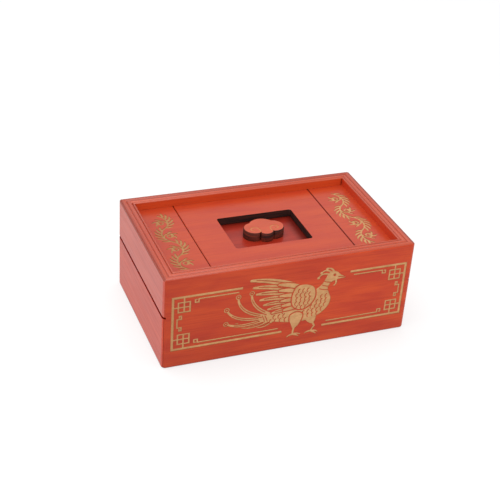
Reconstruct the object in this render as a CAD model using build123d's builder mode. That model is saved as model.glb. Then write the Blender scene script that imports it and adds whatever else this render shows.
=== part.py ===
"""Secret box: a mitred wooden keepsake box with two hidden end drawers and a sliding cloud knob.

Frame: millimetres, +X along the length, +Y to the back, +Z up, origin at the middle of the underside.
"""
from build123d import *
import os

os.makedirs("parts", exist_ok=True)

# Outside of the box
length = 180.0
depth = 111.0
height = 70.0
wall = 9.3
corner_round = 3.0
bottom_round = 1.2
top_ease = 1.6
top_room = 0.3

# Parting groove across each end, between the fixed upper end and the drawer front
upper_height = 29.5
split_gap = 1.4
split_chamfer = 0.4
split_depth = 3.5
corner_notch = 1.9

# Moulded top edge of the walls: an eased arris, two wide reeds and a narrow bead, with a V between them
arris_round = 0.8
arris_drop = 0.55
first_valley = 1.25
reed_width = 3.25
valley_depth = 0.85
bead_drop = 0.15

# Boards let into grooves of the walls
groove_depth = 3.0
groove_end_gap = 0.3
board_recess = 6.1
board_thick = 5.7
seam_place = 52.5
seam_gap = 0.55
seam_ease = 0.35
deck_thick = 4.0
bottom_thick = 4.0
bottom_rabbet = 4.0
partition_thick = 6.0

# Window in the middle board and the cloud knob
window_length = 56.7
window_depth = 41.7
window_round = 1.8
knob_place = 1.5
knob_dome_radius = 10.3
knob_dome_place = 1.2
knob_side_radius = 7.55
knob_side_place = (7.3, -0.45)
knob_nose_radius = 5.55
knob_nose_place = -4.95
knob_thick = 6.6
knob_ease = 0.5

# Lock under the middle board
plate_thick = 5.0
plate_margin = 5.0
knob_travel = 7.6
peg_diameter = 6.0
peg_place = 13.0
peg_socket = 3.0
peg_drop = 7.0
guide_ledge = 4.0
guide_width = 8.0

# Drawers
drawer_wall = 5.0
drawer_floor = 3.0
drawer_floor_rise = 2.0
drawer_floor_groove = 2.5
drawer_top_room = 3.5
stop_setback = 5.7
stop_width = 5.0
stop_height = 2.8
stop_length = 60.0

# Clearances
slide_gap = 0.3
side_gap = 0.4
mitre_gap = 0.3
notch_gap = 0.6
socket_gap = 0.1
stop_gap = 0.4

# Levels worked out from the above
half_length = length / 2
half_depth = depth / 2
inside_x = half_length - wall
inside_y = half_depth - wall
bottom_length = 2 * (inside_x - slide_gap)
bottom_depth = 2 * (inside_y + bottom_rabbet)
split_height = height - upper_height
upper_low = split_height + split_gap / 2
front_high = split_height - split_gap / 2
lip_high = upper_low - slide_gap
deck_low = upper_low
deck_high = deck_low + deck_thick
board_high = height - board_recess
board_low = board_high - board_thick
plate_high = board_low - slide_gap
plate_low = plate_high - plate_thick
drawer_low = bottom_thick + slide_gap
drawer_side_high = deck_low - drawer_top_room
drawer_back_high = front_high - slide_gap
drawer_floor_low = drawer_low + drawer_floor_rise
drawer_floor_high = drawer_floor_low + drawer_floor
drawer_side_y = inside_y - side_gap
drawer_inner_y = drawer_side_y - drawer_wall
peg_low = deck_low - peg_drop
peg_radius = peg_diameter / 2
back_face = peg_place - peg_radius - stop_gap
back_inner = back_face - drawer_wall
plate_half_x = window_length / 2 + plate_margin
plate_half_y = window_depth / 2 + knob_travel + plate_margin / 2
west_corner = -half_length


def draw_top_edge(place, inward):
    """Draw the moulded top edge from the outer face to the inner arris; returns its two end points."""
    def at(distance, level):
        return (place + inward * distance, level)

    bow = 0.7071
    start = at(0, height - arris_drop - arris_round)
    crown = at(arris_round, height - arris_drop)
    round_mid = at(arris_round * (1 - bow), height - arris_drop - arris_round * (1 - bow))
    ThreePointArc(start, round_mid, crown)
    valley_level = height - valley_depth
    valley = at(first_valley, valley_level)
    Line(crown, valley)
    for number in (0, 1):
        reach = first_valley + number * reed_width
        far_valley = at(reach + reed_width, valley_level)
        ThreePointArc(valley, at(reach + reed_width / 2, height), far_valley)
        valley = far_valley
    bead_start = first_valley + 2 * reed_width
    inner_arris = at(wall, valley_level)
    ThreePointArc(valley, at((bead_start + wall) / 2, height - bead_drop), inner_arris)
    return start, inner_arris


def draw_groove(place, inward, low, high):
    """Draw the three sides of a groove in the inner face, from its top down to its foot."""
    face = place + inward * wall
    root = place + inward * (wall - groove_depth)
    Polyline((face, high), (root, high), (root, low), (face, low))


def end_plan(gap):
    """Plan corners of a left end board, mitred at 45 degrees and eased by gap along the depth."""
    return [
        (-half_length, -half_depth + gap),
        (-inside_x, -inside_y + gap),
        (-inside_x, inside_y - gap),
        (-half_length, half_depth - gap),
    ]


# Outside form: upright corners, foot and top edge are rounded in one go, and the walls are cut to it.
# It stands a little above the moulding, so that only the corners of the moulding are eased by it.
with BuildPart() as outside:
    with BuildSketch():
        RectangleRounded(length, depth, corner_round)
    extrude(amount=height + top_room)
    fillet(outside.faces().sort_by(Axis.Z)[0].edges(), bottom_round)
    fillet(outside.faces().sort_by(Axis.Z)[-1].edges(), top_ease)

# Front and back panels: full height, moulded on top, grooved inside, mitred at both ends.
# The parting grooves of the ends run out round their corners in short notches.
with BuildPart() as front_panel:
    with BuildSketch(Plane.YZ):
        with BuildLine():
            outer = -half_depth
            face = -inside_y
            edge_start, edge_end = draw_top_edge(outer, 1)
            Line(edge_end, (face, board_high))
            draw_groove(outer, 1, board_low, board_high)
            Line((face, board_low), (face, deck_high))
            draw_groove(outer, 1, deck_low, deck_high)
            Polyline((face, deck_low), (face, 0), (outer, 0), edge_start)
        make_face()
    extrude(amount=half_length, both=True)
    with BuildSketch(Plane.XY):
        with BuildLine():
            Polyline(
                (-half_length, -half_depth),
                (half_length, -half_depth),
                (inside_x, -inside_y),
                (-inside_x, -inside_y),
                close=True,
            )
        make_face()
    extrude(amount=height, mode=Mode.INTERSECT)
    add(outside.part, mode=Mode.INTERSECT)
    with BuildSketch(Plane.XY):
        Rectangle(bottom_length, bottom_depth)
    extrude(amount=bottom_thick, mode=Mode.SUBTRACT)
    with BuildSketch(Plane.XZ):
        for side in (-1, 1):
            with BuildLine():
                Polyline(
                    (side * half_length, front_high - split_chamfer),
                    (side * (half_length - split_chamfer), front_high),
                    (side * (half_length - corner_notch), front_high),
                    (side * (half_length - corner_notch), upper_low),
                    (side * (half_length - split_chamfer), upper_low),
                    (side * half_length, upper_low + split_chamfer),
                    close=True,
                )
            make_face()
    extrude(amount=half_depth, both=True, mode=Mode.SUBTRACT)
front_panel.part.label = "front_panel"
export_step(front_panel.part, "parts/front_panel.step")

with BuildPart() as back_panel:
    mirror(front_panel.part, about=Plane.XZ)
back_panel.part.label = "back_panel"
export_step(back_panel.part, "parts/back_panel.step")

# Upper ends: fixed end boards above the parting groove, rabbeted for the deck
with BuildPart() as left_upper_end:
    with BuildSketch(Plane.XZ):
        with BuildLine():
            face = -inside_x
            edge_start, edge_end = draw_top_edge(west_corner, 1)
            Line(edge_end, (face, board_high))
            draw_groove(west_corner, 1, board_low, board_high)
            Polyline(
                (face, board_low),
                (face, deck_high),
                (face - groove_depth, deck_high),
                (face - groove_depth, upper_low),
                (west_corner + split_chamfer, upper_low),
                (west_corner, upper_low + split_chamfer),
                edge_start,
            )
        make_face()
    extrude(amount=half_depth, both=True)
    with BuildSketch(Plane.XY):
        with BuildLine():
            Polyline(*end_plan(0), close=True)
        make_face()
    extrude(amount=height, mode=Mode.INTERSECT)
    add(outside.part, mode=Mode.INTERSECT)
left_upper_end.part.label = "left_upper_end"
export_step(left_upper_end.part, "parts/left_upper_end.step")

with BuildPart() as right_upper_end:
    mirror(left_upper_end.part, about=Plane.YZ)
right_upper_end.part.label = "right_upper_end"
export_step(right_upper_end.part, "parts/right_upper_end.step")

# Bottom board, flush with the feet of the walls, and the partition between the drawers
with BuildPart() as bottom_board:
    with BuildSketch():
        Rectangle(bottom_length, bottom_depth)
    extrude(amount=bottom_thick)
bottom_board.part.label = "bottom_board"
export_step(bottom_board.part, "parts/bottom_board.step")

with BuildPart() as centre_partition:
    with BuildSketch(Plane.XY.offset(bottom_thick)):
        Rectangle(partition_thick, 2 * inside_y)
    extrude(amount=deck_low - bottom_thick)
centre_partition.part.label = "centre_partition"
export_step(centre_partition.part, "parts/centre_partition.step")

# Deck over the drawers, with one slot for each lock peg
with BuildPart() as mechanism_deck:
    with BuildSketch(Plane.XY.offset(deck_low)):
        reach = groove_depth - groove_end_gap
        Rectangle(2 * (inside_x + reach), 2 * (inside_y + reach))
        with Locations((-peg_place, 0), (peg_place, 0)):
            SlotCenterToCenter(2 * knob_travel, peg_diameter + 2 * side_gap, rotation=90, mode=Mode.SUBTRACT)
    extrude(amount=deck_thick)
mechanism_deck.part.label = "mechanism_deck"
export_step(mechanism_deck.part, "parts/mechanism_deck.step")

# Top boards: two end boards and the middle board with the window
with BuildPart() as left_top_board:
    with BuildSketch(Plane.XY.offset(board_low)):
        reach = groove_depth - groove_end_gap
        outer_end = -inside_x - reach
        inner_end = -seam_place - seam_gap / 2
        with Locations(((outer_end + inner_end) / 2, 0)):
            Rectangle(inner_end - outer_end, 2 * (inside_y + reach))
    extrude(amount=board_thick)
    seam_edge = left_top_board.edges().filter_by(Axis.Y).group_by(Axis.Z)[-1].sort_by(Axis.X)[-1]
    chamfer(seam_edge, seam_ease)
left_top_board.part.label = "left_top_board"
export_step(left_top_board.part, "parts/left_top_board.step")

with BuildPart() as right_top_board:
    mirror(left_top_board.part, about=Plane.YZ)
right_top_board.part.label = "right_top_board"
export_step(right_top_board.part, "parts/right_top_board.step")

with BuildPart() as centre_top_board:
    with BuildSketch(Plane.XY.offset(board_low)):
        reach = groove_depth - groove_end_gap
        Rectangle(2 * seam_place - seam_gap, 2 * (inside_y + reach))
    extrude(amount=board_thick)
    seam_edges = centre_top_board.edges().filter_by(Axis.Y).group_by(Axis.Z)[-1]
    chamfer(seam_edges, seam_ease)
    with BuildSketch(Plane.XY.offset(board_low)):
        RectangleRounded(window_length, window_depth, window_round)
    extrude(amount=board_thick, mode=Mode.SUBTRACT)
centre_top_board.part.label = "centre_top_board"
export_step(centre_top_board.part, "parts/centre_top_board.step")

# Guides: rabbeted strips on the deck that carry the lock plate and keep it square
with BuildPart() as right_plate_guide:
    with BuildSketch(Plane.XZ):
        with BuildLine():
            shoulder = plate_half_x + side_gap
            ledge_high = plate_low - slide_gap
            Polyline(
                (plate_half_x - guide_ledge, deck_high),
                (shoulder + guide_width, deck_high),
                (shoulder + guide_width, board_low),
                (shoulder, board_low),
                (shoulder, ledge_high),
                (plate_half_x - guide_ledge, ledge_high),
                close=True,
            )
        make_face()
    extrude(amount=inside_y, both=True)
right_plate_guide.part.label = "right_plate_guide"
export_step(right_plate_guide.part, "parts/right_plate_guide.step")

with BuildPart() as left_plate_guide:
    mirror(right_plate_guide.part, about=Plane.YZ)
left_plate_guide.part.label = "left_plate_guide"
export_step(left_plate_guide.part, "parts/left_plate_guide.step")

# Lock plate: the floor seen through the window, with sockets underneath for the two pegs
with BuildPart() as lock_plate:
    with BuildSketch(Plane.XY.offset(plate_low)):
        Rectangle(2 * plate_half_x, 2 * plate_half_y)
    extrude(amount=plate_thick)
    with BuildSketch(Plane.XY.offset(plate_low)):
        with Locations((-peg_place, 0), (peg_place, 0)):
            Circle(peg_radius + socket_gap)
    extrude(amount=peg_socket, mode=Mode.SUBTRACT)
lock_plate.part.label = "lock_plate"
export_step(lock_plate.part, "parts/lock_plate.step")

# Cloud knob: a wide dome behind, two round side lobes and a small nose between sharp notches
with BuildPart() as cloud_knob:
    with BuildSketch(Plane.XY.offset(plate_high)):
        side_x, side_y = knob_side_place
        with Locations((0, knob_place)):
            with Locations((0, knob_dome_place)):
                Circle(knob_dome_radius)
            with Locations((side_x, side_y), (-side_x, side_y)):
                Circle(knob_side_radius)
            with Locations((0, knob_nose_place)):
                Circle(knob_nose_radius)
    extrude(amount=knob_thick)
    chamfer(cloud_knob.faces().sort_by(Axis.Z)[-1].edges(), knob_ease)
cloud_knob.part.label = "cloud_knob"
export_step(cloud_knob.part, "parts/cloud_knob.step")

# Lock pegs: dowels that hang from the plate, through the deck, to stand behind the drawer backs
with BuildPart() as right_lock_peg:
    with BuildSketch(Plane.XY.offset(peg_low)):
        with Locations((peg_place, 0)):
            Circle(peg_radius)
    extrude(amount=plate_low + peg_socket - peg_low)
    chamfer(right_lock_peg.faces().sort_by(Axis.Z)[0].edges(), knob_ease)
right_lock_peg.part.label = "right_lock_peg"
export_step(right_lock_peg.part, "parts/right_lock_peg.step")

with BuildPart() as left_lock_peg:
    mirror(right_lock_peg.part, about=Plane.YZ)
left_lock_peg.part.label = "left_lock_peg"
export_step(left_lock_peg.part, "parts/left_lock_peg.step")

# Drawer stops: strips under the deck, near its ends, that catch the drawer backs after 60 mm of travel
with BuildPart() as right_drawer_stop:
    with BuildSketch(Plane.XY.offset(deck_low - stop_height)):
        with Locations((inside_x - stop_setback - stop_width / 2, 0)):
            Rectangle(stop_width, stop_length)
    extrude(amount=stop_height)
right_drawer_stop.part.label = "right_drawer_stop"
export_step(right_drawer_stop.part, "parts/right_drawer_stop.step")

with BuildPart() as left_drawer_stop:
    mirror(right_drawer_stop.part, about=Plane.YZ)
left_drawer_stop.part.label = "left_drawer_stop"
export_step(left_drawer_stop.part, "parts/left_drawer_stop.step")

# Left drawer front: the end board below the parting groove, with a lip that closes the groove from behind
# and a groove inside for the drawer bottom
with BuildPart() as left_drawer_front:
    with BuildSketch(Plane.XZ):
        with BuildLine():
            face = -inside_x
            foot = slide_gap
            Polyline(
                (west_corner, foot),
                (west_corner, front_high - split_chamfer),
                (west_corner + split_chamfer, front_high),
                (west_corner + split_depth, front_high),
                (west_corner + split_depth, lip_high),
                (face, lip_high),
                (face, foot),
                close=True,
            )
        make_face()
    extrude(amount=half_depth, both=True)
    with BuildSketch(Plane.XY):
        with BuildLine():
            Polyline(*end_plan(mitre_gap * 2**0.5), close=True)
        make_face()
    extrude(amount=height, mode=Mode.INTERSECT)
    add(outside.part, mode=Mode.INTERSECT)
    with BuildSketch(Plane.XY.offset(drawer_floor_low)):
        with Locations((-inside_x - groove_depth / 2, 0)):
            Rectangle(groove_depth, 2 * (drawer_inner_y + drawer_floor_groove))
    extrude(amount=drawer_floor, mode=Mode.SUBTRACT)
left_drawer_front.part.label = "left_drawer_front"
export_step(left_drawer_front.part, "parts/left_drawer_front.step")

# Left drawer sides, grooved for the bottom, from the drawer front to the back end
with BuildPart() as left_drawer_near_side:
    with BuildSketch(Plane.YZ.offset(-inside_x)):
        with BuildLine():
            groove_root = -drawer_inner_y - drawer_floor_groove
            Polyline(
                (-drawer_side_y, drawer_low),
                (-drawer_inner_y, drawer_low),
                (-drawer_inner_y, drawer_floor_low),
                (groove_root, drawer_floor_low),
                (groove_root, drawer_floor_high),
                (-drawer_inner_y, drawer_floor_high),
                (-drawer_inner_y, drawer_side_high),
                (-drawer_side_y, drawer_side_high),
                close=True,
            )
        make_face()
    extrude(amount=inside_x - back_inner)
left_drawer_near_side.part.label = "left_drawer_near_side"
export_step(left_drawer_near_side.part, "parts/left_drawer_near_side.step")

with BuildPart() as left_drawer_far_side:
    mirror(left_drawer_near_side.part, about=Plane.XZ)
left_drawer_far_side.part.label = "left_drawer_far_side"
export_step(left_drawer_far_side.part, "parts/left_drawer_far_side.step")

# Left drawer back: stands on the bottom between the sides, with the notch that lets the peg through
with BuildPart() as left_drawer_back:
    with BuildSketch(Plane.YZ.offset(-back_face)):
        with BuildLine():
            notch_half = peg_radius + notch_gap
            notch_low = peg_low - notch_gap
            Polyline(
                (-drawer_inner_y, drawer_floor_high),
                (drawer_inner_y, drawer_floor_high),
                (drawer_inner_y, drawer_back_high),
                (notch_half, drawer_back_high),
                (notch_half, notch_low),
                (-notch_half, notch_low),
                (-notch_half, drawer_back_high),
                (-drawer_inner_y, drawer_back_high),
                close=True,
            )
        make_face()
    extrude(amount=drawer_wall)
left_drawer_back.part.label = "left_drawer_back"
export_step(left_drawer_back.part, "parts/left_drawer_back.step")

# Left drawer bottom: thin board in the grooves of the front and the sides
with BuildPart() as left_drawer_bottom:
    with BuildSketch(Plane.XY.offset(drawer_floor_low)):
        outer_end = -inside_x - groove_depth + groove_end_gap
        with Locations(((outer_end - back_inner) / 2, 0)):
            Rectangle(-back_inner - outer_end, 2 * (drawer_inner_y + drawer_floor_groove - groove_end_gap))
    extrude(amount=drawer_floor)
left_drawer_bottom.part.label = "left_drawer_bottom"
export_step(left_drawer_bottom.part, "parts/left_drawer_bottom.step")

# Right drawer: the left drawer's pieces, mirrored
with BuildPart() as right_drawer_front:
    mirror(left_drawer_front.part, about=Plane.YZ)
right_drawer_front.part.label = "right_drawer_front"
export_step(right_drawer_front.part, "parts/right_drawer_front.step")

with BuildPart() as right_drawer_near_side:
    mirror(left_drawer_near_side.part, about=Plane.YZ)
right_drawer_near_side.part.label = "right_drawer_near_side"
export_step(right_drawer_near_side.part, "parts/right_drawer_near_side.step")

with BuildPart() as right_drawer_far_side:
    mirror(left_drawer_far_side.part, about=Plane.YZ)
right_drawer_far_side.part.label = "right_drawer_far_side"
export_step(right_drawer_far_side.part, "parts/right_drawer_far_side.step")

with BuildPart() as right_drawer_back:
    mirror(left_drawer_back.part, about=Plane.YZ)
right_drawer_back.part.label = "right_drawer_back"
export_step(right_drawer_back.part, "parts/right_drawer_back.step")

with BuildPart() as right_drawer_bottom:
    mirror(left_drawer_bottom.part, about=Plane.YZ)
right_drawer_bottom.part.label = "right_drawer_bottom"
export_step(right_drawer_bottom.part, "parts/right_drawer_bottom.step")
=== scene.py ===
"""Looks of a red lacquered secret box: stained wood, engraved ornament, charred edges, pale drawer wood."""

import math

import bmesh
import bpy
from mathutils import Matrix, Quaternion, Vector
from mathutils.geometry import delaunay_2d_cdt


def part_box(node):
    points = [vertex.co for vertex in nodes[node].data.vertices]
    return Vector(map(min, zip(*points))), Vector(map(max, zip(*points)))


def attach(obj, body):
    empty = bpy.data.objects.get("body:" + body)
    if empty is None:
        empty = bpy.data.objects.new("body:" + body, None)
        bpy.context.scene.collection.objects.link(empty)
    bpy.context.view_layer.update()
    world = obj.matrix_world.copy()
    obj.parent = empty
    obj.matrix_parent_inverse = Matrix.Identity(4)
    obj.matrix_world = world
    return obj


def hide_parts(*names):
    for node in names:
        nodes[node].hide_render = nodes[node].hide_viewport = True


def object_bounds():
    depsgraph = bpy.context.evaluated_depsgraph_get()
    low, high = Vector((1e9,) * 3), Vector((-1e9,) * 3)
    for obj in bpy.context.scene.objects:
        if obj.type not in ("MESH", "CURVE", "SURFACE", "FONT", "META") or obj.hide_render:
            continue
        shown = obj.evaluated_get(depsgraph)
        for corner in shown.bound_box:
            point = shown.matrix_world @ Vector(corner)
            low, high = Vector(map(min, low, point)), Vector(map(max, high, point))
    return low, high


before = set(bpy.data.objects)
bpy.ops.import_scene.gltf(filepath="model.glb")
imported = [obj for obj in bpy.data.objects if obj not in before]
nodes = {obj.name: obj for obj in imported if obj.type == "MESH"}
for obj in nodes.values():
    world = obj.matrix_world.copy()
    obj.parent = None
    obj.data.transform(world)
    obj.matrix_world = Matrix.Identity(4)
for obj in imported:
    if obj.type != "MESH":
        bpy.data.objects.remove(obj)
cad_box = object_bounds()

MM = 0.001

# Places and sizes on the box in millimetres, read from the frame
front_face, front_inside = (corner.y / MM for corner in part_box("front_panel"))
wall = front_inside - front_face
board_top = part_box("left_top_board")[1].z / MM
knob_bottom, knob_top = (corner.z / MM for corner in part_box("cloud_knob"))
rim_top = cad_box[1].z / MM
half_length, half_depth = cad_box[1].x / MM, cad_box[1].y / MM
kerf_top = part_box("left_upper_end")[0].z / MM
seam_near, seam_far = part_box("centre_top_board")[1].x / MM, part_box("right_top_board")[0].x / MM
seam_middle = (seam_near + seam_far) / 2

# Sizes that no node's box gives, in millimetres
kerf_height = 1.4
first_valley, reed_width = 1.25, 3.25
window_reach = 32.0

# Places and sizes of the ornament, in millimetres
knob_y = 1.5
scroll_x, scroll_y = 67.5, -1.0
border_shift, bird_shift = 0.35, 3.0
hairline = (0.45, 0.5, 0.4)
cut_depth = 0.25


def linear(hex_colour):
    """An sRGB hex colour as linear red, green, blue and alpha."""
    channels = [int(hex_colour[i:i + 2], 16) / 255 for i in (1, 3, 5)]
    return tuple(c / 12.92 if c <= 0.04045 else ((c + 0.055) / 1.055) ** 2.4 for c in channels) + (1.0,)


def add(tree, kind, inputs=None, **settings):
    """A node with its settings; each input is a value or the socket that it is linked to."""
    made = tree.nodes.new(kind)
    for name, value in settings.items():
        setattr(made, name, value)
    for socket, value in (inputs or {}).items():
        if isinstance(value, bpy.types.NodeSocket):
            tree.links.new(value, made.inputs[socket])
        else:
            made.inputs[socket].default_value = value
    return made


def new_finish(name):
    """An empty material with its shader; gives the material, its node tree and the shader."""
    material = bpy.data.materials.new(name)
    material.use_nodes = True
    tree = material.node_tree
    tree.nodes.clear()
    shader = add(tree, "ShaderNodeBsdfPrincipled")
    add(tree, "ShaderNodeOutputMaterial", {"Surface": shader.outputs["BSDF"]})
    return material, tree, shader


def rim_valley_shade_and_edge_tone(tree, across, outer, edge_share):
    """Painted shade in the valleys of a moulded edge, and a darker tone on the slope inside its outer
    arris.

    A valley's floor and side are measured from its middle, as shares of a reed's width.
    """
    valley_floor, valley_side, valley_share = 0.02, 0.24, 0.26
    valley_middle = outer - first_valley
    slope_start, slope_end = outer - 3.0, outer - 1.2
    out = add(tree, "ShaderNodeMath", {0: across}, operation="ABSOLUTE")
    bays = add(tree, "ShaderNodeMapRange", {
        "Value": out.outputs[0], "From Min": valley_middle * MM,
        "From Max": (valley_middle - reed_width) * MM}, clamp=False)
    swing = add(tree, "ShaderNodeMath", {0: bays.outputs["Result"], 1: 0.5}, operation="PINGPONG")
    valley = add(tree, "ShaderNodeMapRange", {
        "Value": swing.outputs[0], "From Min": valley_floor, "From Max": valley_side,
        "To Min": valley_share, "To Max": 0.0})
    slope = add(tree, "ShaderNodeMapRange", {
        "Value": out.outputs[0], "From Min": slope_start * MM, "From Max": slope_end * MM,
        "To Max": edge_share})
    most = add(tree, "ShaderNodeMath", {
        0: valley.outputs["Result"], 1: slope.outputs["Result"]}, operation="MAXIMUM")
    return most.outputs[0]


def long_rim_shade_and_edge_tone(tree, axes):
    """Painted shade in the valleys of a long wall's moulded edge, and a slightly darker slope inside its
    outer arris.
    """
    return rim_valley_shade_and_edge_tone(tree, axes.outputs["Y"], half_depth, edge_share=0.15)


def end_rim_shade_and_edge_tone(tree, axes):
    """Painted shade in the valleys of an end's moulded edge, and a darker slope inside its outer arris."""
    return rim_valley_shade_and_edge_tone(tree, axes.outputs["X"], half_length, edge_share=0.5)


def back_rim_darkening(tree, axes):
    """Darker towards the outer arris of the back wall."""
    start, end, share = half_depth - 7.0, half_depth - 2.0, 0.42
    return add(tree, "ShaderNodeMapRange", {
        "Value": axes.outputs["Y"], "From Min": start * MM, "From Max": end * MM,
        "To Min": 0.0, "To Max": share}).outputs["Result"]


def inner_corner_shade(tree, axes):
    """Painted shade in the inner corners of the rim."""
    corner = half_length - wall
    start, end, share = corner - 1.3, corner - 0.3, 0.9
    out = add(tree, "ShaderNodeMath", {0: axes.outputs["X"]}, operation="ABSOLUTE")
    return add(tree, "ShaderNodeMapRange", {
        "Value": out.outputs[0], "From Min": start * MM, "From Max": end * MM,
        "To Min": 0.0, "To Max": share}).outputs["Result"]


def foot_shadow(tree, axes):
    """A painted contact shadow along the foot of a wall, where it meets the floor."""
    start, end, share = 0.2, 1.6, 0.75
    return add(tree, "ShaderNodeMapRange", {
        "Value": axes.outputs["Z"], "From Min": start * MM, "From Max": end * MM,
        "To Min": share, "To Max": 0.0}).outputs["Result"]


def lower_wall_shade(tree, axes):
    """Painted shade: a wall a little darker towards its foot, where less light reaches it."""
    start, end, share = 4.0, 24.0, 0.11
    return add(tree, "ShaderNodeMapRange", {
        "Value": axes.outputs["Z"], "From Min": start * MM, "From Max": end * MM,
        "To Min": share, "To Max": 0.0}).outputs["Result"]


def left_side_shade(share, start, end):
    """Painted shade for boards that are darker towards the left, where less light falls, between two places
    along the box.
    """
    def mark(tree, axes):
        return add(tree, "ShaderNodeMapRange", {
            "Value": axes.outputs["X"], "From Min": start * MM, "From Max": end * MM,
            "To Min": share, "To Max": 0.0}).outputs["Result"]
    return mark


def seam_shade(tree, axes):
    """Painted shade along the eased arrises of the right seam, which widens its shadowed line."""
    half_gap = (seam_far - seam_near) / 2
    start, end, share = half_gap + 0.15, half_gap + 0.4, 0.85
    aside = add(tree, "ShaderNodeMath", {0: axes.outputs["X"], 1: seam_middle * MM}, operation="SUBTRACT")
    away = add(tree, "ShaderNodeMath", {0: aside.outputs[0]}, operation="ABSOLUTE")
    return add(tree, "ShaderNodeMapRange", {
        "Value": away.outputs[0], "From Min": start * MM, "From Max": end * MM,
        "To Min": share, "To Max": 0.0}).outputs["Result"]


def window_edge_shade(tree, axes):
    """Painted shade on the plate beside the window's right and back edges."""
    right_start, right_end, right_share = 20.0, 26.5, 0.92
    back_start, back_end, back_share = 13.0, 20.5, 0.7
    right = add(tree, "ShaderNodeMapRange", {
        "Value": axes.outputs["X"], "From Min": right_start * MM, "From Max": right_end * MM,
        "To Max": right_share})
    back = add(tree, "ShaderNodeMapRange", {
        "Value": axes.outputs["Y"], "From Min": back_start * MM, "From Max": back_end * MM,
        "To Max": back_share})
    return add(tree, "ShaderNodeMath", {
        0: right.outputs["Result"], 1: back.outputs["Result"]}, operation="MAXIMUM").outputs[0]


def stained_wood(name, grain, light, deep, streak, gloss, seed, marks=(), film=(0.36, 0.46),
                 relief_share=0.25):
    """Basswood stained red under a satin lacquer: soft long grain, a few darker streaks, fine open pores.

    The film keeps the colour even and gives a broad, soft sheen at a low angle; its two values are its
    least and its greatest roughness. Marks darken the wood towards one dark red; most of them are painted
    shade.
    """
    figure_long, figure_wide = 40.0, 8.0
    streak_long, streak_wide, streak_share = 32.0, 0.8, 0.45
    pore_long, pore_wide, pore_depth, pore_share = 6.0, 0.35, 0.03, 0.18
    pore_colour, mark_colour = linear("#5a150c"), linear("#5e130b")
    material, tree, shader = new_finish(name)
    place = add(tree, "ShaderNodeTexCoord").outputs["Object"]
    along = Vector([axis == grain for axis in "XYZ"])
    across = Vector((1, 1, 1)) - along
    figure_at = add(tree, "ShaderNodeVectorMath", {
        0: place, 1: (along / figure_long + across / figure_wide) / MM}, operation="MULTIPLY")
    figure = add(tree, "ShaderNodeTexNoise", {
        "Vector": figure_at.outputs[0], "W": seed, "Scale": 1.0, "Detail": 3.0, "Distortion": 0.15},
        noise_dimensions="4D")
    streak_at = add(tree, "ShaderNodeVectorMath", {
        0: place, 1: (along / streak_long + across / streak_wide) / MM}, operation="MULTIPLY")
    streaks = add(tree, "ShaderNodeTexNoise", {
        "Vector": streak_at.outputs[0], "W": seed + 3.0, "Scale": 1.0, "Detail": 3.0, "Distortion": 0.05},
        noise_dimensions="4D")
    pore_at = add(tree, "ShaderNodeVectorMath", {
        0: place, 1: (along / pore_long + across / pore_wide) / MM}, operation="MULTIPLY")
    pores = add(tree, "ShaderNodeTexNoise", {
        "Vector": pore_at.outputs[0], "W": seed + 7.0, "Scale": 1.0, "Detail": 1.0},
        noise_dimensions="4D")
    broad = add(tree, "ShaderNodeMapRange", {
        "Value": figure.outputs["Fac"], "From Min": 0.36, "From Max": 0.64})
    ground = add(tree, "ShaderNodeMix", {
        0: broad.outputs["Result"], 6: linear(deep), 7: linear(light)}, data_type="RGBA")
    fine = add(tree, "ShaderNodeMapRange", {
        "Value": streaks.outputs["Fac"], "From Min": 0.5, "From Max": 0.7, "To Max": streak_share})
    streaked = add(tree, "ShaderNodeMix", {
        0: fine.outputs["Result"], 6: ground.outputs[2], 7: linear(streak)}, data_type="RGBA")
    speck = add(tree, "ShaderNodeMapRange", {
        "Value": pores.outputs["Fac"], "From Min": 0.6, "From Max": 0.75, "To Max": pore_share})
    pored = add(tree, "ShaderNodeMix", {
        0: speck.outputs["Result"], 6: streaked.outputs[2], 7: pore_colour}, data_type="RGBA")
    colour = pored.outputs[2]
    axes = add(tree, "ShaderNodeSeparateXYZ", {0: place})
    for mark in marks:
        colour = add(tree, "ShaderNodeMix", {
            0: mark(tree, axes), 6: colour, 7: mark_colour}, data_type="RGBA").outputs[2]
    tree.links.new(colour, shader.inputs["Base Color"])
    satin = add(tree, "ShaderNodeMapRange", {
        "Value": streaks.outputs["Fac"], "From Min": 0.3, "From Max": 0.7,
        "To Min": film[0], "To Max": film[1]})
    tree.links.new(satin.outputs["Result"], shader.inputs["Roughness"])
    relief = add(tree, "ShaderNodeBump", {
        "Height": pores.outputs["Fac"], "Strength": relief_share, "Distance": pore_depth * MM})
    tree.links.new(relief.outputs["Normal"], shader.inputs["Normal"])
    shader.inputs["IOR"].default_value = 1.5
    shader.inputs["Specular IOR Level"].default_value = gloss
    return material


def charred_edge(name, soot, ember, layer_pitch):
    """Edge of a glued-up board cut by a hot beam: dark and matt, with the layers of the board showing."""
    layer_run, layer_depth = 14.0, 0.05
    material, tree, shader = new_finish(name)
    place = add(tree, "ShaderNodeTexCoord").outputs["Object"]
    layer_at = add(tree, "ShaderNodeVectorMath", {
        0: place, 1: Vector((1 / layer_run, 1 / layer_run, 1 / layer_pitch)) / MM}, operation="MULTIPLY")
    layers = add(tree, "ShaderNodeTexNoise", {"Vector": layer_at.outputs[0], "Scale": 1.0, "Detail": 2.0})
    tone = add(tree, "ShaderNodeMapRange", {
        "Value": layers.outputs["Fac"], "From Min": 0.35, "From Max": 0.7})
    toned = add(tree, "ShaderNodeMix", {
        0: tone.outputs["Result"], 6: linear(soot), 7: linear(ember)}, data_type="RGBA")
    tree.links.new(toned.outputs[2], shader.inputs["Base Color"])
    relief = add(tree, "ShaderNodeBump", {
        "Height": layers.outputs["Fac"], "Strength": 0.3, "Distance": layer_depth * MM})
    tree.links.new(relief.outputs["Normal"], shader.inputs["Normal"])
    shader.inputs["Roughness"].default_value = 0.72
    shader.inputs["Specular IOR Level"].default_value = 0.3
    return material


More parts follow.
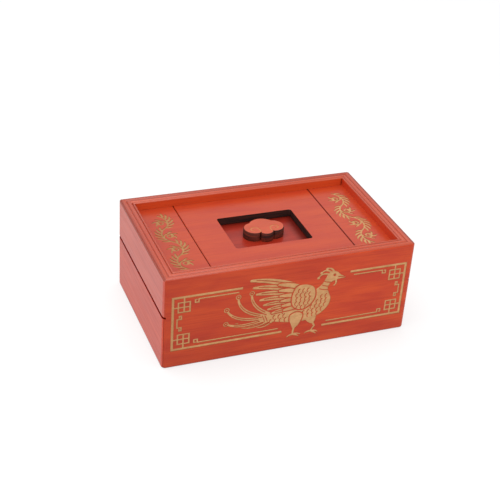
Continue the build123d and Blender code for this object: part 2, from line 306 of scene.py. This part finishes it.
def engraved_wood(name, toasted, bared, scorched):
    """Wood bared by engraving through the lacquer: matt tan, with toasted patches and fine scan lines.

    Real scan lines are about 0.1 mm apart; they are drawn at 0.5 mm so that they show. The cut is browner
    towards the left end of the box.
    """
    scan_pitch, scan_run, scan_depth, scan_share = 0.5, 12.0, 0.05, 0.35
    toast_size = 3.0
    brown_start, brown_end, brown_share = -86.0, -64.0, 0.6
    material, tree, shader = new_finish(name)
    place = add(tree, "ShaderNodeTexCoord").outputs["Object"]
    toast_at = add(tree, "ShaderNodeVectorMath", {
        0: place, 1: Vector((1, 1, 1)) / (toast_size * MM)}, operation="MULTIPLY")
    toast = add(tree, "ShaderNodeTexNoise", {"Vector": toast_at.outputs[0], "Scale": 1.0, "Detail": 4.0})
    scan_at = add(tree, "ShaderNodeVectorMath", {
        0: place, 1: Vector((1 / scan_run, 1 / scan_pitch, 1 / scan_pitch)) / MM}, operation="MULTIPLY")
    scan = add(tree, "ShaderNodeTexNoise", {"Vector": scan_at.outputs[0], "Scale": 1.0, "Detail": 1.0})
    tone = add(tree, "ShaderNodeMapRange", {
        "Value": toast.outputs["Fac"], "From Min": 0.3, "From Max": 0.7})
    tan = add(tree, "ShaderNodeMix", {
        0: tone.outputs["Result"], 6: linear(toasted), 7: linear(bared)}, data_type="RGBA")
    line_tone = add(tree, "ShaderNodeMapRange", {
        "Value": scan.outputs["Fac"], "From Min": 0.45, "From Max": 0.7, "To Max": scan_share})
    lined = add(tree, "ShaderNodeMix", {
        0: line_tone.outputs["Result"], 6: tan.outputs[2], 7: linear(scorched)}, data_type="RGBA")
    axes = add(tree, "ShaderNodeSeparateXYZ", {0: place})
    browner = add(tree, "ShaderNodeMapRange", {
        "Value": axes.outputs["X"], "From Min": brown_start * MM, "From Max": brown_end * MM,
        "To Min": brown_share, "To Max": 0.0})
    uneven = add(tree, "ShaderNodeMix", {
        0: browner.outputs["Result"], 6: lined.outputs[2], 7: linear(scorched)}, data_type="RGBA")
    tree.links.new(uneven.outputs[2], shader.inputs["Base Color"])
    relief = add(tree, "ShaderNodeBump", {
        "Height": scan.outputs["Fac"], "Strength": 0.3, "Distance": scan_depth * MM})
    tree.links.new(relief.outputs["Normal"], shader.inputs["Normal"])
    shader.inputs["Roughness"].default_value = 0.62
    shader.inputs["Specular IOR Level"].default_value = 0.25
    return material


def bare_wood(name, grain):
    """Unfinished basswood inside the box: pale, matt, with a soft brown grain along the piece."""
    grain_long, grain_wide, grain_depth = 60.0, 1.6, 0.05
    dark, pale = linear("#b98d5c"), linear("#dcbb8e")
    material, tree, shader = new_finish(name)
    place = add(tree, "ShaderNodeTexCoord").outputs["Object"]
    along = Vector([axis == grain for axis in "XYZ"])
    across = Vector((1, 1, 1)) - along
    grain_at = add(tree, "ShaderNodeVectorMath", {
        0: place, 1: (along / grain_long + across / grain_wide) / MM}, operation="MULTIPLY")
    fibres = add(tree, "ShaderNodeTexNoise", {
        "Vector": grain_at.outputs[0], "Scale": 1.0, "Detail": 4.0, "Distortion": 0.5})
    tone = add(tree, "ShaderNodeMapRange", {
        "Value": fibres.outputs["Fac"], "From Min": 0.3, "From Max": 0.7})
    grained = add(tree, "ShaderNodeMix", {
        0: tone.outputs["Result"], 6: dark, 7: pale}, data_type="RGBA")
    tree.links.new(grained.outputs[2], shader.inputs["Base Color"])
    relief = add(tree, "ShaderNodeBump", {
        "Height": fibres.outputs["Fac"], "Strength": 0.3, "Distance": grain_depth * MM})
    tree.links.new(relief.outputs["Normal"], shader.inputs["Normal"])
    shader.inputs["Roughness"].default_value = 0.66
    return material


# Finishes; stained wood is given by its grain's axis and its light, deep and streak colours
even_film = (0.4, 0.44)
polished_film = (0.28, 0.36)

# Painted shade: the panels' marks darken them towards the left, towards their lower part and along their
# foot.
panel_wood = stained_wood(
    "stained_basswood_panels", "X", "#bc4118", "#ac3216", "#90230d", gloss=0.24, seed=1.0,
    marks=[left_side_shade(share=0.2, start=-80, end=50), lower_wall_shade, foot_shadow])
upper_end_wood = stained_wood(
    "stained_basswood_upper_ends", "Y", "#be3e1c", "#b3351a", "#9b2a10", gloss=0.82, seed=11.0)
drawer_front_wood = stained_wood(
    "stained_basswood_drawer_fronts", "Y", "#c13d1b", "#b63519", "#9d2b10", gloss=0.48, seed=17.0,
    marks=[foot_shadow])
# Painted shade: the rims' marks darken the valleys of their reeds, and their outer slope is a little
# darker.
long_rim = stained_wood(
    "stained_basswood_long_rims", "X", "#b74217", "#b13c16", "#a93614", gloss=0.7, seed=3.0,
    marks=[long_rim_shade_and_edge_tone, back_rim_darkening], film=even_film, relief_share=0.05)
end_rim = stained_wood(
    "stained_basswood_end_rims", "Y", "#b13e17", "#ab3816", "#a33314", gloss=0.77, seed=13.0,
    marks=[end_rim_shade_and_edge_tone], film=even_film, relief_share=0.05)
# Painted shade: the boards' marks darken them towards the left and along the right seam.
board_wood = stained_wood(
    "stained_basswood_top_boards", "X", "#b53f19", "#ad361b", "#9a2a12", gloss=0.46, seed=23.0,
    marks=[left_side_shade(share=0.16, start=-84, end=-48), seam_shade], film=polished_film)
# The plate's stain is darker than the boards'; this is partly its own colour and partly painted shade for
# the window's recess.
plate_wood = stained_wood(
    "stained_basswood_plate", "X", "#9e2a19", "#922213", "#741c10", gloss=0.32, seed=31.0,
    marks=[window_edge_shade], film=polished_film)
knob_wood = stained_wood(
    "stained_basswood_knob", "X", "#bc4a28", "#b04022", "#a05530", gloss=0.5, seed=37.0)
# Painted light: the inner walls have a lighter, oranger copy of the stain, standing in for the frontal
# light and red bounce that reach them.
long_wall = stained_wood(
    "stained_basswood_inner_long_walls", "X", "#c6461c", "#be401a", "#a83212", gloss=0.3, seed=41.0,
    marks=[inner_corner_shade])
end_wall = stained_wood(
    "stained_basswood_inner_end_walls", "Y", "#ca411e", "#c23b1c", "#aa2e12", gloss=0.3, seed=43.0)
# Painted shade: the parting groove's faces and eased lips are nearly black-red to stand for the shade
# inside the groove.
kerf_shade = stained_wood(
    "basswood_saw_kerf_painted_shade", "Y", "#7c1008", "#6e0c06", "#5c0904", gloss=0.02, seed=47.0)
seam_edge = stained_wood(
    "stained_basswood_board_edges", "Y", "#b0301a", "#a02814", "#8c230e", gloss=0.2, seed=53.0)
edge_char = charred_edge("charred_window_edge", "#1c0906", "#3a150c", layer_pitch=1.4)
knob_edge = charred_edge("toasted_knob_edge", "#2c0c06", "#6c2514", layer_pitch=1.5)
tan_wood = engraved_wood("engraved_wood", "#b08052", "#c19262", "#986c44")
brown_tan = engraved_wood("browner_engraved_wood", "#9c6e42", "#ac7e50", "#865832")
tan_edge = charred_edge("scorched_engraving_edge", "#7a4526", "#96623a", layer_pitch=1.0)
knob_tan = engraved_wood("lightly_engraved_wood", "#b46a44", "#c47c54", "#aa5c38")
long_pale = bare_wood("bare_basswood_along_the_box", "X")
cross_pale = bare_wood("bare_basswood_across_the_box", "Y")
upright_pale = bare_wood("bare_basswood_upright", "Z")

# The nodes that aren't listed here are bare wood along the box.
node_finish = {
    "front_panel": panel_wood, "back_panel": panel_wood, "bottom_board": panel_wood,
    "left_upper_end": upper_end_wood, "right_upper_end": upper_end_wood,
    "left_drawer_front": drawer_front_wood, "right_drawer_front": drawer_front_wood,
    "left_top_board": board_wood, "centre_top_board": board_wood, "right_top_board": board_wood,
    "lock_plate": plate_wood, "cloud_knob": knob_wood,
    "left_drawer_back": cross_pale, "right_drawer_back": cross_pale, "centre_partition": cross_pale,
    "left_drawer_bottom": cross_pale, "right_drawer_bottom": cross_pale,
    "left_plate_guide": cross_pale, "right_plate_guide": cross_pale,
    "left_drawer_stop": cross_pale, "right_drawer_stop": cross_pale,
    "left_lock_peg": upright_pale, "right_lock_peg": upright_pale,
}


def soften_edges(node):
    """Eases a board's sharp arrises as sanding does; the node's own mesh is left as it is."""
    ease_width, sharp_angle = 0.22, 50
    weld_reach = 0.002
    weld = node.modifiers.new("weld", "WELD")
    weld.merge_threshold = weld_reach * MM
    ease = node.modifiers.new("ease", "BEVEL")
    ease.width = ease_width * MM
    ease.segments = 2
    ease.limit_method = "ANGLE"
    ease.angle_limit = math.radians(sharp_angle)
    ease.use_clamp_overlap = True


# Faces with a finish of their own are picked by their normal and their corners in millimetres. A face is
# square to an axis when at least this part of its normal runs along it, and a cut side's normal has at most
# that part upright.
square_on, side_on = 0.9, 0.8
slack = 0.1


def finish_faces(node, material, chosen):
    """Gives a finish of their own to the faces that chosen picks."""
    node.data.materials.append(material)
    slot = len(node.data.materials) - 1
    for face in node.data.polygons:
        corners = [node.data.vertices[i].co / MM for i in face.vertices]
        if chosen(face.normal, corners):
            face.material_index = slot


def in_kerf(normal, corners):
    """Faces of the parting groove across an end, with its eased lips."""
    lip = 0.45
    low, high = kerf_top - kerf_height - lip, kerf_top + lip
    return all(low < c.z < high for c in corners)


def on_long_wall(normal, corners):
    """The inner face of the front or back panel, above the top boards."""
    low, inside = board_top - slack, half_depth - wall + slack
    return abs(normal.y) > square_on and all(c.z > low and abs(c.y) < inside for c in corners)


def on_end_wall(normal, corners):
    """The inner face of an end, above the top boards."""
    low, inside = board_top - slack, half_length - wall + slack
    return abs(normal.x) > square_on and all(c.z > low and abs(c.x) < inside for c in corners)


def on_rim(normal, corners):
    """The moulded top edge of a wall, inside its outer round at the front and the back."""
    moulding_depth, outer_round = 1.5, 0.6
    low, inside = rim_top - moulding_depth, half_depth - outer_round
    return all(c.z > low and abs(c.y) < inside for c in corners)


def on_seam(normal, corners):
    """The edge of a top board along a seam."""
    reach = 1.2
    return abs(normal.x) > square_on and all(abs(abs(c.x) - seam_middle) < reach for c in corners)


def on_window_edge(normal, corners):
    """The cut edge of the window."""
    return abs(normal.z) < side_on and all(abs(c.x) < window_reach for c in corners)


def on_knob_side(normal, corners):
    """The cut side of the knob."""
    return abs(normal.z) < side_on


for name, node in nodes.items():
    node.data.materials.clear()
    node.data.materials.append(node_finish.get(name, long_pale))
    soften_edges(node)

for name in ("front_panel", "back_panel"):
    finish_faces(nodes[name], long_wall, on_long_wall)
    finish_faces(nodes[name], long_rim, on_rim)
for name in ("left_upper_end", "right_upper_end"):
    finish_faces(nodes[name], end_wall, on_end_wall)
    finish_faces(nodes[name], end_rim, on_rim)
for name in ("front_panel", "back_panel", "left_upper_end", "right_upper_end",
             "left_drawer_front", "right_drawer_front"):
    finish_faces(nodes[name], kerf_shade, in_kerf)
for name in ("left_top_board", "centre_top_board", "right_top_board"):
    finish_faces(nodes[name], seam_edge, on_seam)
finish_faces(nodes["centre_top_board"], edge_char, on_window_edge)
finish_faces(nodes["cloud_knob"], knob_edge, on_knob_side)


# Ornament: a stroke is a flat outline in millimetres, with True where it is cut and False where lacquer
# stays. A later stroke lies over the earlier ones.

def stroke_path(x, y, heading, length, bends, steps):
    """Points and headings along a stroke whose bend, in degrees per millimetre, changes evenly."""
    bend, gain = bends[0], (bends[1] - bends[0]) / (2 * length)
    step = length / steps
    path = []
    for i in range(steps + 1):
        gone = i * step
        path.append((x, y, heading + bend * gone + gain * gone ** 2))
        middle = gone + step / 2
        ahead = math.radians(heading + bend * middle + gain * middle ** 2)
        x += step * math.cos(ahead)
        y += step * math.sin(ahead)
    return path


def spot(x, y, radius, cut=True):
    """A round spot."""
    sides = 20
    turns = [2 * math.pi * i / sides for i in range(sides)]
    return [([(x + radius * math.cos(t), y + radius * math.sin(t)) for t in turns], cut)]


def plume(x, y, heading, length, bends, widths, eye=0.0, cut=True, steps=20):
    """A feather, leaf or scroll: its width runs from root over belly to tip, and an eye may end it."""
    path = stroke_path(x, y, heading, length, bends, steps)
    root, belly, tip = widths
    left, right = [], []
    for i, (px, py, turn) in enumerate(path):
        u = i / steps
        half = (root * (1 - u) ** 2 + 2 * belly * u * (1 - u) + tip * u ** 2) / 2
        side = half * math.sin(math.radians(turn)), half * math.cos(math.radians(turn))
        left.append((px - side[0], py + side[1]))
        right.append((px + side[0], py - side[1]))
    bands = [([left[i], right[i], right[i + 1], left[i + 1]], cut) for i in range(steps)]
    return bands + spot(*path[0][:2], root / 2, cut) + spot(*path[-1][:2], max(eye, tip / 2), cut)


def overlaid(x, y, heading, length, bends, widths, eye=0.0, rim=0.55):
    """A plume that lies over its neighbours, with a rim of lacquer left round it."""
    wide = [w + 2 * rim for w in widths]
    return (plume(x, y, heading, length, bends, wide, eye and eye + rim, cut=False)
            + plume(x, y, heading, length, bends, widths, eye))


def rounded(corners, grow=0.0, cut=True, steps=6):
    """A closed curve through its corners, which run anticlockwise and first move out from their middle."""
    count = len(corners)
    middle = sum((Vector(c) for c in corners), Vector((0, 0))) / count
    corners = [Vector(c) + (Vector(c) - middle).normalized() * grow for c in corners]
    outline = []
    for i in range(count):
        before, here, there, after = (corners[(i + k - 1) % count] for k in range(4))
        for step in range(steps):
            t = step / steps
            outline.append(tuple((2 * here + (there - before) * t
                                  + (2 * before - 5 * here + 4 * there - after) * t ** 2
                                  + (3 * here - before - 3 * there + after) * t ** 3) / 2))
    return [(outline, cut)]


def fret(corners, width):
    """A square-cornered line through its corners."""
    half = width / 2
    bars = []
    for (xa, ya), (xb, yb) in zip(corners, corners[1:]):
        x0, x1 = sorted((xa, xb))
        y0, y1 = sorted((ya, yb))
        low, high = y0 - half, y1 + half
        bar = [(x0 - half, low), (x1 + half, low), (x1 + half, high), (x0 - half, high)]
        bars.append((bar, True))
    return bars


def fret_border():
    """The frame of the front panel: a broad line, a fine line with hooked ends, lattices and side hooks."""
    broad, fine, bar = 1.8, 1.05, 1.15
    reach, top, bottom = 83.9, 55.1, 14.3
    broad_ends = {-1: (37.0, 6.5), 1: (42.5, 25.0)}
    inner_top, inner_bottom = 52.2, 17.4
    inner_ends = {-1: (39.0, 9.0), 1: (45.0, 27.5)}
    hook_x, hook_wide, hook_tall, hook_rise = 66.3, 2.4, 2.5, 0.3
    hook_far, hook_tip = hook_x + hook_wide, hook_x + hook_wide * 0.6
    side_x, side_low, side_high, side_reach = 80.8, 31.5, 38.1, 2.5
    side_middle = (side_low + side_high) / 2
    side_in, side_lip, side_drop = side_x - 2.9, side_x - 1.5, 1.4
    lattice_x, lattice_wide, lattice_tall = 76.2, 4.0, 3.75
    lattices = ((47.3, top), (22.0, bottom))
    strokes = []
    for side in (-1, 1):
        upper_end, lower_end = broad_ends[side]
        line = [(upper_end, top), (reach, top), (reach, bottom), (lower_end, bottom)]
        strokes += fret([(side * x, z) for x, z in line], broad)
    for side in (-1, 1):
        upper_end, lower_end = inner_ends[side]
        for level, end, turn in ((inner_top, upper_end, -1), (inner_bottom, lower_end, 1)):
            deep, shallow = level + turn * hook_tall, level + turn * hook_rise
            hook = [(end, level), (hook_x, level), (hook_x, deep), (hook_far, deep),
                    (hook_far, shallow), (hook_tip, shallow)]
            strokes += fret([(side * x, z) for x, z in hook], fine)
        for level, turn in ((side_high, 1), (side_low, -1)):
            tip = level + turn * side_reach
            hook = [(side_lip, tip - turn * side_drop), (side_lip, tip), (side_in, tip),
                    (side_in, level), (side_x, level), (side_x, side_middle)]
            strokes += fret([(side * x, z) for x, z in hook], fine)
        for level, edge in lattices:
            x0, x1 = lattice_x - lattice_wide, lattice_x + lattice_wide
            z0, z1 = level - lattice_tall, level + lattice_tall
            square = [(x0, z0), (x1, z0), (x1, z1), (x0, z1), (x0, z0)]
            far = z0 if edge > level else z1
            for line in (square, [(x0, level), (reach, level)], [(lattice_x, far), (lattice_x, edge)]):
                strokes += fret([(side * x, z) for x, z in line], bar)
    return [([(x + border_shift, z) for x, z in outline], cut) for outline, cut in strokes]


def scales(rows, pitch, rise):
    """Rows of small curved ticks, left standing in lacquer, each row from x, z to the left."""
    heading, length, bends = 205, 3.7, (30, 30)
    strokes = []
    for x, z, count in rows:
        for k in range(count):
            tick = x - pitch * k, z + rise * k, heading, length, bends
            strokes += plume(*tick, hairline, cut=False, steps=8)
    return strokes


def tail_plumes():
    """Six tail plumes, each with a quill line and an eye at its tip."""
    plumes = [
        (-16, 24.8, 214, 14, (-1.0, -9.0), 1.5), (-19, 25.4, 200, 24, (-0.4, -4.6), 1.7),
        (-20, 26.6, 186, 30, (0.8, -3.4), 1.9), (-21, 28.0, 174, 32, (0.8, -4.6), 2.0),
        (-20, 29.4, 164, 31, (0.0, -5.0), 2.0), (-18, 30.8, 153, 25, (-0.9, -4.6), 1.9)]
    widths = (2.4, 2.9, 1.3)
    steps, quill_step = 24, 4
    quill_length, quill_start, quill_end = 0.62, quill_step / steps, 0.79
    ring, pupil = 0.66, 0.34
    strokes = []
    for x, z, heading, length, bends, eye in plumes:
        strokes += overlaid(x, z, heading, length, bends, widths, eye)
        path = stroke_path(x, z, heading, length, bends, steps)
        gain = bends[1] - bends[0]
        quill_bends = bends[0] + gain * quill_start, bends[0] + gain * quill_end
        strokes += plume(*path[quill_step], length * quill_length, quill_bends, hairline, cut=False)
        tip = path[-1][:2]
        strokes += spot(*tip, eye * ring, cut=False) + spot(*tip, eye * pupil)
    return strokes


def body_and_legs():
    """The far leg, the body, the near leg over it, the feet, and the ticks on breast and back."""
    straight = (0, 0)
    strokes = rounded([(8, 23.5), (10.0, 19.6), (13.1, 17.2), (14.9, 17.4), (16.4, 20.6), (15.5, 25)])
    strokes += plume(14.0, 18.6, -62, 4.4, straight, (1.7, 1.5, 1.3))
    strokes += plume(15.9, 15.0, -122, 4.8, straight, (1.4, 1.3, 1.2))
    strokes += rounded([
        (35.8, 51.4), (31.8, 54.2), (29.2, 56.8), (25.8, 57.8), (22.6, 56.2), (20.9, 52.6), (18.6, 48.4),
        (14, 45), (7, 42.5), (-3, 38.8), (-13, 33.5), (-22, 29.8), (-26, 27.4), (-23, 25.2), (-14, 23.6),
        (-3, 21.2), (8, 20.6), (17, 23.2), (23.8, 28.6), (26.2, 35), (24.4, 40.6), (23.2, 44.6),
        (24.9, 48.4), (28.4, 50.2), (31.6, 50.8)])
    thigh = [(-2.6, 27.0), (-3.2, 23), (-1.8, 19), (-0.4, 15.7), (1.4, 15.6), (4.0, 18.4), (5.6, 22.0),
             (6.2, 26.4), (2.0, 28.6)]
    strokes += rounded(thigh, grow=0.7, cut=False) + rounded(thigh)
    strokes += plume(0.6, 17, -96, 6.6, straight, (1.8, 1.5, 1.3))
    for x, z, lean in ((-0.2, 10.6, 0), (13.2, 11.0, -8)):
        for heading, length, bend in ((12, 6.2, -8), (-14, 5.4, -5), (-172, 4.4, 9)):
            strokes += plume(x, z, lean + heading, length, (bend / 2, bend * 1.5), (1.4, 1.5, 0.6))
    breast = [(22.9, 40.0, 2), (23.2, 36.6, 3), (22.4, 33.2, 4), (20.4, 29.8, 5), (17.4, 26.6, 3)]
    strokes += scales(breast, pitch=3.3, rise=-0.15)
    back = [(-8, 32.2, 1), (-7.2, 28.8, 3), (-6.0, 25.6, 4)]
    strokes += scales(back, pitch=3.6, rise=0.1)
    for x, z in ((-19.6, 25.0), (-21.6, 25.4)):
        strokes += plume(x, z, 104, 5.2, (3, 3), hairline, cut=False)
    return strokes


def wing():
    """A spread wing: long feathers with quill lines, shorter ones over them, and a scaled shoulder.

    The share u runs from 0 at the top feather to 1 at the lowest.
    """
    long_feathers, short_feathers = 7, 6
    steps, quill_step = 24, 10
    strokes = []
    for i in reversed(range(long_feathers)):
        u = i / (long_feathers - 1)
        length = 45 - 23 * u
        feather = 9.5 - 4.0 * u, 46.0 - 12.5 * u, 154 + 28 * u, length, (0.15, 0.8)
        strokes += overlaid(*feather, (2.2, 6.4 - 1.8 * u, 2.0 - 0.4 * u))
        quill = stroke_path(*feather, steps)[quill_step]
        strokes += plume(*quill, length / 2, (0.42, 0.75), hairline, cut=False)
    for i in reversed(range(short_feathers)):
        u = i / (short_feathers - 1)
        feather = 9 - 3 * u, 46.4 - 13.0 * u, 156 + 26 * u, 23 - 9 * u, (0.3, 1.2)
        strokes += overlaid(*feather, (2.2, 5.2 - 1.2 * u, 1.8))
    shoulder = [(14.2, 43.6), (12.0, 48.0), (6.0, 50.4), (0.4, 49.6), (-1.8, 45.6), (-2.8, 41.0),
                (-2.4, 36.2), (0.4, 32.0), (5.5, 30.6), (10.5, 32.8), (14, 38)]
    strokes += rounded(shoulder, grow=0.75, cut=False) + rounded(shoulder)
    rows = [(9.0, 47.0, 3), (10.6, 43.6, 4), (11.0, 40.2, 4), (10.4, 36.8, 4), (8.4, 33.6, 3)]
    return strokes + scales(rows, pitch=3.2, rise=0.1)


def neck_and_head():
    """Ticks on the neck, three crest plumes, a wattle, an eye and the line of the beak."""
    strokes = []
    for x, z, heading, length in ((20.3, 50.2, -24, 5.4), (19.0, 47.4, -26, 6.2), (17.0, 45.0, -28, 8.6)):
        strokes += plume(x, z, heading, length, (3.4, 3.4), hairline, cut=False)
    crest = [(26.6, 57.2, 116, 6.6, (6, 20)), (24.6, 57.0, 136, 8.2, (6, 18)),
             (22.8, 55.8, 160, 8.4, (4, 18))]
    for x, z, heading, length, bends in crest:
        strokes += plume(x, z, heading, length, bends, (1.3, 1.6, 0.9), eye=1.1)
    strokes += plume(28.6, 50.6, -70, 5.2, (-6, -28), (1.5, 1.6, 0.9))
    strokes += spot(27.4, 54.4, 0.95, cut=False) + spot(27.5, 54.5, 0.4)
    return strokes + plume(30.4, 52.5, -6, 4.6, (0, -2), hairline, cut=False)


def bird():
    """A crested bird with a spread wing and eyed tail plumes, in folk manner."""
    strokes = tail_plumes() + body_and_legs() + wing() + neck_and_head()
    return [([(x + bird_shift, z) for x, z in outline], cut) for outline, cut in strokes]


def leaf_scroll():
    """A running scroll: a wavy stem with a curl in each bay and curved leaves on its outer side.

    Each leaf has its step along the stroke that it grows from, and its length.
    """
    bays, pitch, lean = 4, 18.0, 52.0
    radius = pitch / 2 / math.sin(math.radians(lean))
    arc = radius * math.radians(2 * lean)
    stem_steps, curl_root, curl_steps = 20, 5, 40
    stem_widths, curl_widths = (1.3, 1.3, 1.3), (0.9, 1.8, 0.8)
    curl_leaves, curl_leaf_widths = ((13, 4.8), (17, 5.0), (21, 4.4)), (0.8, 2.2, 0.35)
    stem_leaves = ((1, 6.0), (4, 7.2), (7, 7.8), (10, 7.8), (13, 7.2), (16, 6.2))
    stem_leaf_widths = (0.9, 2.8, 0.35)
    strokes = []
    for bay in range(bays):
        side = 1 - 2 * (bay % 2)
        bend = -side * 2 * lean / arc
        stem = pitch * (bay - bays / 2), 0.0, side * lean, arc, (bend, bend)
        strokes += plume(*stem, stem_widths)
        stem_path = stroke_path(*stem, stem_steps)
        x, y, heading = stem_path[curl_root]
        curl = x, y, heading - side * 6, 26.0, (-side * 7.0, -side * 38.0)
        strokes += plume(*curl, curl_widths, eye=1.15, steps=curl_steps)
        curl_path = stroke_path(*curl, curl_steps)
        for step, length in curl_leaves:
            x, y, heading = curl_path[step]
            leaf = x, y, heading + side * 38, length, (-side * 2, -side * 14)
            strokes += plume(*leaf, curl_leaf_widths, steps=12)
        for step, length in stem_leaves:
            x, y, heading = stem_path[step]
            leaf = x, y, heading + side * 44, length, (-side, -side * 11)
            strokes += plume(*leaf, stem_leaf_widths, steps=12)
    return strokes


def knob_curls():
    """Two small curls that rise from the front of the knob into its side lobes."""
    strokes = []
    for side in (-1, 1):
        curl = side * 4.4, -6.6, 90 + side * 16, 16.5, (-side * 4, -side * 34)
        strokes += plume(*curl, (0.8, 1.6, 0.8), steps=40)
    return strokes


def knob_notches():
    """Narrow notches on both sides of the knob's nose, run in a little deeper than its lobes meet."""
    strokes = []
    for side in (-1, 1):
        strokes += plume(side * 5.2, -8.1, 90 + side * 32, 2.3, (0, 0), (1.4, 0.9, 0.3), steps=4)
    return strokes


def cutter(strokes, place, depth, floor_slot, edge_slot):
    """A closed solid that fills the cut strokes, from just above a face to that depth below it."""
    clear, merge_reach = 0.3, 1e-3
    inside_only = 1
    points, loops = [], []
    for outline, _ in strokes:
        loops.append(list(range(len(points), len(points) + len(outline))))
        points.extend(Vector(p) for p in outline)
    verts, _, faces, _, _, sources = delaunay_2d_cdt(points, [], loops, inside_only, merge_reach)
    kept = [f for f, source in zip(faces, sources) if source and strokes[max(source)][1]]
    shape = bmesh.new()
    floor = [shape.verts.new(place(p.x, p.y, depth) * MM) for p in verts]
    roof = [shape.verts.new(place(p.x, p.y, -clear) * MM) for p in verts]
    sides = set()
    for f in kept:
        shape.faces.new([floor[i] for i in f]).material_index = floor_slot
        shape.faces.new([roof[i] for i in reversed(f)]).material_index = floor_slot
        sides.update(zip(f, f[1:] + f[:1]))
    for a, b in sorted(sides):
        if (b, a) not in sides:
            shape.faces.new([floor[b], floor[a], roof[a], roof[b]]).material_index = edge_slot
    bmesh.ops.delete(shape, geom=[v for v in shape.verts if not v.link_faces], context="VERTS")
    bmesh.ops.recalc_face_normals(shape, faces=shape.faces)
    mesh = bpy.data.meshes.new("cutter")
    shape.to_mesh(mesh)
    shape.free()
    solid = bpy.data.objects.new("cutter", mesh)
    bpy.context.scene.collection.objects.link(solid)
    return solid


def engrave(node_name, body, place, cuts):
    """A copy of a board with ornament cut into one face; it stands for the board's node.

    place(u, v, inward) gives a point of the face, in millimetres, that far below its surface. Each cut has
    its strokes, its depth, and the finishes of its floor and its edges.
    """
    board = nodes[node_name]
    carves = []
    for strokes, depth, floor_finish, edge_finish in cuts:
        edge_slot = len(board.data.materials)
        board.data.materials.append(edge_finish)
        board.data.materials.append(floor_finish)
        carve = board.modifiers.new("carve", "BOOLEAN")
        carve.object = cutter(strokes, place, depth, edge_slot + 1, edge_slot)
        carve.operation = "DIFFERENCE"
        carve.solver = "EXACT"
        carve.material_mode = "INDEX"
        carves.append(carve)
    evaluated = board.evaluated_get(bpy.context.evaluated_depsgraph_get())
    mesh = bpy.data.meshes.new_from_object(evaluated)
    for carve in carves:
        bpy.data.objects.remove(carve.object)
        board.modifiers.remove(carve)
    piece = bpy.data.objects.new("engraved_" + node_name, mesh)
    bpy.context.scene.collection.objects.link(piece)
    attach(piece, body)
    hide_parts(node_name)


def on_front(x, z, inward):
    """A point of the front face, looked at from the front."""
    return Vector((x, front_face + inward, z))


def on_left_board(u, v, inward):
    """A point of the left top board, whose ornament runs from the front to the back."""
    return Vector((-scroll_x - v, scroll_y + u, board_top - inward))


def on_right_board(u, v, inward):
    """A point of the right top board, with the left board's ornament turned half round."""
    return Vector((scroll_x + v, scroll_y - u, board_top - inward))


def on_knob(x, y, inward):
    """A point of the knob's top."""
    return Vector((x, knob_y + y, knob_top - inward))


engrave("front_panel", "case", on_front, [(fret_border() + bird(), cut_depth, tan_wood, tan_edge)])
engrave("left_top_board", "case", on_left_board, [(leaf_scroll(), cut_depth, brown_tan, tan_edge)])
engrave("right_top_board", "case", on_right_board, [(leaf_scroll(), cut_depth, tan_wood, tan_edge)])
through_knob = knob_top - knob_bottom + cut_depth
engrave("cloud_knob", "lock", on_knob, [
    (knob_notches(), through_knob, knob_edge, knob_edge), (knob_curls(), cut_depth, knob_tan, knob_tan)])


# Stage: a plain white floor, a soft white surround and two large soft lamps

def white_floor():
    """A broad matt white sheet, lit from below as on a light table, under the box."""
    half, drop = 4.0, 0.05 * MM
    corners = [(-half, -half, 0), (half, -half, 0), (half, half, 0), (-half, half, 0)]
    mesh = bpy.data.meshes.new("floor")
    mesh.from_pydata(corners, [], [(0, 1, 2, 3)])
    material, _, shader = new_finish("white_paper")
    shader.inputs["Base Color"].default_value = linear("#9a9a9a")
    shader.inputs["Roughness"].default_value = 0.9
    shader.inputs["Specular IOR Level"].default_value = 0.1
    shader.inputs["Emission Color"].default_value = linear("#ffffff")
    shader.inputs["Emission Strength"].default_value = 0.62
    mesh.materials.append(material)
    floor = bpy.data.objects.new("floor", mesh)
    floor.location.z = -drop
    bpy.context.scene.collection.objects.link(floor)


def soft_light(name, at, aim, size, power):
    """A large square lamp that looks at a point."""
    lamp = bpy.data.lights.new(name, "AREA")
    lamp.size = size
    lamp.energy = power
    holder = bpy.data.objects.new(name, lamp)
    holder.location = at
    holder.rotation_mode = "QUATERNION"
    holder.rotation_quaternion = (Vector(aim) - Vector(at)).to_track_quat("-Z", "Y")
    bpy.context.scene.collection.objects.link(holder)


white_floor()
soft_light("overhead_softbox", at=(-0.25, 0.1, 1.4), aim=(0, 0, 0.03), size=1.2, power=10.3)
soft_light("front_softbox", at=(-0.3, -1.4, 1.0), aim=(0, 0, 0.05), size=0.8, power=9.0)
surround = bpy.data.worlds.new("white_surround")
surround.use_nodes = True
surround.node_tree.nodes["Background"].inputs["Color"].default_value = linear("#ffffff")
surround.node_tree.nodes["Background"].inputs["Strength"].default_value = 0.85
bpy.context.scene.world = surround
bpy.context.scene.view_settings.view_transform = "Standard"

# Camera at the photograph's place, turned a little about its own axis
camera_at = Vector((-269.04, -618.68, 454.22)) * MM
camera_aim = Vector((-1.625, 19.035, 35.0)) * MM
camera_roll = math.radians(4.139)
lens = bpy.data.cameras.new("camera")
lens.lens = 80.13
lens.sensor_width = 36.0
camera = bpy.data.objects.new("camera", lens)
camera.location = camera_at
camera.rotation_mode = "QUATERNION"
camera.rotation_quaternion = ((camera_aim - camera_at).to_track_quat("-Z", "Y")
                              @ Quaternion((0, 0, 1), camera_roll))
bpy.context.scene.collection.objects.link(camera)
bpy.context.scene.camera = camera
